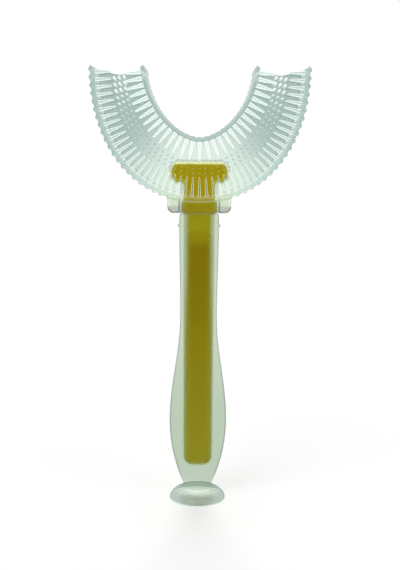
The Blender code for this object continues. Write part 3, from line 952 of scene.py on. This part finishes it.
def socket_shape():
    """What the tongue fills of the head: mouth, stem and hammer head, with a little room."""
    bm = bmesh.new()
    room = SOCKET_ROOM
    hammer_floor = TONGUE_TOP - HAMMER_HEIGHT - room
    mouth_top = SEAT + COLLAR_HEIGHT
    hammer = CORE_HIGH.x + room
    outline = [
        (-SOCKET_MOUTH / 2, SEAT - OVERRUN),
        (SOCKET_MOUTH / 2, SEAT - OVERRUN),
        (SOCKET_MOUTH / 2, mouth_top),
        (STEM_WIDTH / 2 + room, mouth_top),
        (STEM_WIDTH / 2 + room, hammer_floor),
    ]
    corner = HAMMER_CORNER + room
    for middle, start in ((hammer_floor + corner, -90), (TONGUE_TOP + room - corner, 0)):
        for step in range(CORNER_STEPS + 1):
            turn = math.radians(start + 90 * step / CORNER_STEPS)
            x = hammer - corner + corner * math.cos(turn)
            outline.append((x, middle + corner * math.sin(turn)))
    left = [(-x, z) for x, z in reversed(outline[2:])]
    corners = [bm.verts.new((x, -SOCKET_THICKNESS / 2, z)) for x, z in outline + left]
    face = bm.faces.new(corners)
    grown = bmesh.ops.extrude_face_region(bm, geom=[face])["geom"]
    moved = [item for item in grown if isinstance(item, bmesh.types.BMVert)]
    bmesh.ops.translate(bm, verts=moved, vec=(0, SOCKET_THICKNESS, 0))
    return new_object(bm, "socket_shape")


def strand_shape(profile):
    """One bristle as a mesh of unit length along Z, with a radius in STRAND_BASE at each height."""
    bm = bmesh.new()
    spin_profile(bm, [(STRAND_BASE * radius, height) for radius, height in profile], STRAND_SIDES)
    bmesh.ops.recalc_face_normals(bm, faces=bm.faces)
    return new_mesh(bm, "strand_shape")


def plant(bm, shape, root, direction, side, length, wide, deep):
    """A strand that stands from just under a surface, length out of it.

    side is a direction across the strand: wide scales it along that, deep across both.
    """
    before = len(bm.verts)
    bm.from_mesh(shape)
    bm.verts.ensure_lookup_table()
    other = direction.cross(side).normalized()
    across = other.cross(direction)
    turn = Matrix((across, other, direction)).transposed().to_4x4()
    place = Matrix.Translation(root - direction * STRAND_ROOT)
    stretch = Matrix.Diagonal((wide, deep, length + STRAND_ROOT, 1))
    bmesh.ops.transform(bm, matrix=place @ turn @ stretch, verts=bm.verts[before:])


def column_shares(columns, length, margin):
    """Even places for columns of bristles, as shares of a face's length."""
    pitch = (length - 2 * margin) / (columns - 1)
    return [(margin + pitch * column) / length for column in range(columns)]


def eased(start, end, share):
    """From start to end along half a cosine wave, and no further than either."""
    share = min(max(share, 0), 1)
    return start + (end - start) * (1 - math.cos(math.pi * share)) / 2


def reach_at(point, front, arm):
    """How far a wall's bristle stands out: longer at the front of the U than on its arms."""
    climb = 1 - (HEAD_TOP - point.y) / (HEAD_TOP - SEAT - COLLAR_HEIGHT)
    return eased(front, arm, climb)


def make_wall_bristles(name, face, inwards, columns, reaches, side, shape, wide, material):
    """Rows of bristles on one wall, in the channel on one side of the web."""
    bm = bmesh.new()
    for share in column_shares(columns, face.length, WALL_MARGIN):
        point, normal = face.at(share)
        direction = Vector((normal.x * inwards, 0, normal.y * inwards))
        length = reach_at(point, *reaches)
        for row in WALL_ROWS:
            root = Vector((point.x, side * (WEB + row), point.y))
            plant(bm, shape, root, direction, Vector((0, 1, 0)), length, wide, wide)
    return finish_bristles(bm, name, material)


def make_floor_bristles(name, outside, inside, side, shape, material):
    """Three bristles abreast all along the web, between the walls' own."""
    bm = bmesh.new()
    average = (outside.length + inside.length) / 2
    for share in column_shares(FLOOR_COLUMNS, average, FLOOR_MARGIN):
        outer_point, _ = outside.at(share)
        inner_point, _ = inside.at(share)
        middle = (outer_point + inner_point) / 2
        across = (inner_point - outer_point).normalized()
        along = Vector((-across.y, 0, across.x))
        climb = (middle.y - PEG_START) / (PEG_END - PEG_START)
        wide = eased(FLOOR_STRAND, PEG_WIDE, climb)
        deep = eased(FLOOR_STRAND, PEG_DEEP, climb)
        for row in FLOOR_ROWS:
            point = middle + across * row
            root = Vector((point.x, side * WEB, point.y))
            direction = Vector((0, side, 0))
            plant(bm, shape, root, direction, along, FLOOR_REACH, wide, deep)
    return finish_bristles(bm, name, material)


def finish_bristles(bm, name, material):
    obj = add_object(name, new_mesh(bm, name))
    dress(obj, [material], "brush_head", STRAND_SHARP_ANGLE)
    obj.visible_shadow = False
    obj.visible_diffuse = False
    return obj


def make_bristles():
    outside = CurvedFace(HALF_WIDTH, HEAD_TOP - SEAT - COLLAR_HEIGHT, OUTER_POWER, WALL_FOOT)
    inside = CurvedFace(TONGUE_HALF_WIDTH, TONGUE_HEIGHT, TONGUE_POWER, -WALL_FOOT)
    shape = strand_shape(NEEDLE)
    peg = strand_shape(PEG)
    outer_finish = outer_bristle_silicone()
    inner_finish = inner_bristle_silicone()
    floor_finish = floor_bristle_silicone()
    for channel, side in (("upper", -1), ("lower", 1)):
        outer_reaches = (OUTER_REACH_FRONT, OUTER_REACH_ARM)
        inner_reaches = (INNER_REACH_FRONT, INNER_REACH_ARM)
        made = {
            "outer": make_wall_bristles(
                f"{channel}_outer_bristles",
                outside, 1, OUTER_COLUMNS, outer_reaches, side, shape, 1.0, outer_finish,
            ),
            "inner": make_wall_bristles(
                f"{channel}_inner_bristles",
                inside, -1, INNER_COLUMNS, inner_reaches, side, shape, INNER_WIDE, inner_finish,
            ),
            "floor": make_floor_bristles(
                f"{channel}_floor_bristles", outside, inside, side, peg, floor_finish,
            ),
        }
        for place, piece in made.items():
            start = f"{channel}_{place}_bristles_"
            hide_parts(*[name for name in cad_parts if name.startswith(start)])
    bpy.data.meshes.remove(shape)
    bpy.data.meshes.remove(peg)


def sleeve_profile():
    """The sleeve's outline as (radius, height), from the top's middle down to the hollow's."""
    lip_top = SLEEVE_TOP - LIP_RADIUS
    points = [(0, SLEEVE_TOP)]
    for step in range(CORNER_STEPS + 1):
        turn = step / CORNER_STEPS * math.pi / 2
        radius = TOP_RADIUS - LIP_RADIUS * (1 - math.sin(turn))
        points.append((radius, lip_top + LIP_RADIUS * math.cos(turn)))
    for step in range(CORNER_STEPS + 1):
        share = step / CORNER_STEPS
        height = SLEEVE_TOP - BEAD_DROP + BEAD_HEIGHT * (0.5 - share)
        points.append((TOP_RADIUS + BEAD_STAND * math.sin(math.pi * share) ** 1.5, height))
    under_bead = points[-1][1]
    for step in range(1, PROFILE_STEPS + 1):
        share = step / PROFILE_STEPS
        height = under_bead + (WAIST_HEIGHT - under_bead) * share
        points.append((eased(TOP_RADIUS, WAIST_RADIUS, share), height))
    for step in range(1, PROFILE_STEPS + 1):
        share = step / PROFILE_STEPS
        height = WAIST_HEIGHT + (BULGE_HEIGHT - WAIST_HEIGHT) * share
        points.append((eased(WAIST_RADIUS, BULGE_RADIUS, share), height))
    for step in range(1, PROFILE_STEPS + 1):
        share = step / PROFILE_STEPS
        height = BULGE_HEIGHT + (FOOT_NECK_HEIGHT - BULGE_HEIGHT) * share
        points.append((BULGE_RADIUS + (FOOT_NECK_RADIUS - BULGE_RADIUS) * share**2, height))
    flare_turn = math.acos((FOOT_NECK_RADIUS + FOOT_FLARE) / FOOT_RADIUS)
    flare_height = FOOT_EDGE + FOOT_DOME * math.sin(flare_turn)
    corner_height = flare_height + FOOT_FLARE * FOOT_DOME / FOOT_RADIUS / math.tan(flare_turn)
    for step in range(1, PROFILE_STEPS + 1):
        share = step / PROFILE_STEPS
        height = FOOT_NECK_HEIGHT * (1 - share) ** 2 + flare_height * share**2
        height += 2 * corner_height * share * (1 - share)
        points.append((FOOT_NECK_RADIUS + FOOT_FLARE * share**2, height))
    for step in range(1, PROFILE_STEPS + 1):
        turn = flare_turn * (1 - step / PROFILE_STEPS)
        points.append((FOOT_RADIUS * math.cos(turn), FOOT_EDGE + FOOT_DOME * math.sin(turn)))
    for step in range(1, CORNER_STEPS + 1):
        turn = step / CORNER_STEPS * math.pi / 2
        radius = FOOT_RADIUS - FOOT_EDGE * (1 - math.cos(turn))
        points.append((radius, FOOT_EDGE * (1 - math.sin(turn))))
    hollow_radius = FOOT_RADIUS - FOOT_RING
    for step in range(CORNER_STEPS + 1):
        turn = step / CORNER_STEPS * math.pi / 2
        points.append((hollow_radius * math.cos(turn), FOOT_HOLLOW * math.sin(turn)))
    return points


def depth_share_at(height):
    climb = (height - FOOT_NECK_HEIGHT) / (BULGE_HEIGHT - FOOT_NECK_HEIGHT)
    return eased(1, DEPTH_SHARE, climb)


def cavity_block(name, half_width, half_thickness, low, high, chamfer, corner):
    """A chamfered bar's cavity, or with no chamfer the neck's."""
    bm = bmesh.new()
    box_between(
        bm,
        Vector((-half_width, -half_thickness, low)),
        Vector((half_width, half_thickness, high)),
    )
    if corner:
        bevel(bm, edges_at_floor(bm, low), corner, CORNER_STEPS)
    if chamfer:
        edges = []
        for edge in bm.edges:
            if len(edge.link_faces) == 2 and edge.calc_face_angle() > math.radians(CHAMFER_ANGLE):
                edges.append(edge)
        bevel(bm, edges, chamfer, 1)
    return new_object(bm, name)


def make_sleeve(materials):
    bm = bmesh.new()
    spin_profile(bm, sleeve_profile(), SLEEVE_SIDES)
    for vert in bm.verts:
        vert.co.y *= depth_share_at(vert.co.z)
    sleeve = new_object(bm, "grip_and_foot")
    room = CAVITY_ROOM
    bar_top = SLEEVE_TOP - CORE_NECK_LENGTH + room
    bar = cavity_block(
        "bar_cavity",
        CORE_HALF_WIDTH + room,
        CORE_HALF_THICKNESS + room,
        BAR_FLOOR - room,
        bar_top,
        CORE_CHAMFER,
        CORE_CORNER,
    )
    combine(sleeve, bar, "DIFFERENCE")
    neck = cavity_block(
        "neck_cavity",
        CORE_HALF_WIDTH + room,
        CORE_NECK_HALF_THICKNESS + room,
        bar_top - OVERRUN,
        SLEEVE_TOP + OVERRUN,
        0,
        0,
    )
    combine(sleeve, neck, "DIFFERENCE")
    dress(sleeve, materials, "handle")
    for face in sleeve.data.polygons:
        if inside_cavity(face.center):
            face.material_index = ON_CORE
        elif face.normal.z < -0.05 and face.center.z < FOOT_HOLLOW + JUST_PAST:
            face.material_index = ON_HOLLOW
        else:
            face.material_index = ON_OUTSIDE
    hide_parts("grip_sleeve")


def inside_cavity(point):
    """Whether a point of the sleeve's surface is on the wall that holds the core."""
    room = CAVITY_ROOM + TOUCH
    if not BAR_FLOOR - room < point.z < SLEEVE_TOP - TOUCH:
        return False
    return abs(point.x) < CORE_HALF_WIDTH + room and abs(point.y) < CORE_HALF_THICKNESS + room


def finish_core(material):
    """The core's own solid has the real shape, and only its finish is better here."""
    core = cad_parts["handle_core"]
    core.data.materials.clear()
    core.data.materials.append(material)


def make_floor():
    bm = bmesh.new()
    bmesh.ops.create_grid(bm, x_segments=1, y_segments=1, size=FLOOR_SIZE)
    floor = new_object(bm, "floor")
    floor.data.materials.append(pale_floor())


def make_light(name, place, spread, power):
    """A soft lamp far off on one side, which lights the floor evenly. spread is its width."""
    lamp = bpy.data.lights.new(name, "SUN")
    lamp.angle = math.radians(spread)
    lamp.energy = power
    obj = add_object(name, lamp)
    obj.location = place
    obj.rotation_euler = (-obj.location).to_track_quat("-Z", "Y").to_euler()


def make_world():
    world = bpy.data.worlds.new("studio")
    bpy.context.scene.world = world
    finish = Finish(world)
    light = finish.node(
        "ShaderNodeBackground", None, {"Color": (1, 1, 1, 1), "Strength": WORLD_LIGHT}
    )
    white = finish.node("ShaderNodeBackground", None, {"Color": (1, 1, 1, 1), "Strength": 1.0})
    finish.output(finish.mix(seen_rays(finish), light, white))


def make_camera():
    camera = bpy.data.cameras.new("camera")
    camera.lens = CAMERA_LENS
    camera.sensor_fit = "VERTICAL"
    camera.sensor_height = SENSOR_HEIGHT
    camera.clip_start = MM
    obj = add_object("camera", camera)
    level = Matrix.Rotation(math.pi / 2 - CAMERA_PITCH, 4, "X")
    roll = Matrix.Rotation(CAMERA_ROLL, 4, "Z")
    obj.matrix_world = Matrix.Translation(CAMERA_PLACE) @ level @ roll
    bpy.context.scene.camera = obj


def main():
    scene = bpy.context.scene
    scene.view_settings.view_transform = "Standard"
    make_camera()
    make_floor()
    make_world()
    for lamp in LAMPS:
        make_light(*lamp)
    make_tray([clear_silicone(), wall_silicone(), collar_silicone(), socket_silicone()])
    make_bristles()
    make_sleeve([frosted_silicone(), bonded_silicone(), hollow_silicone()])
    finish_core(yellow_plastic())


main()
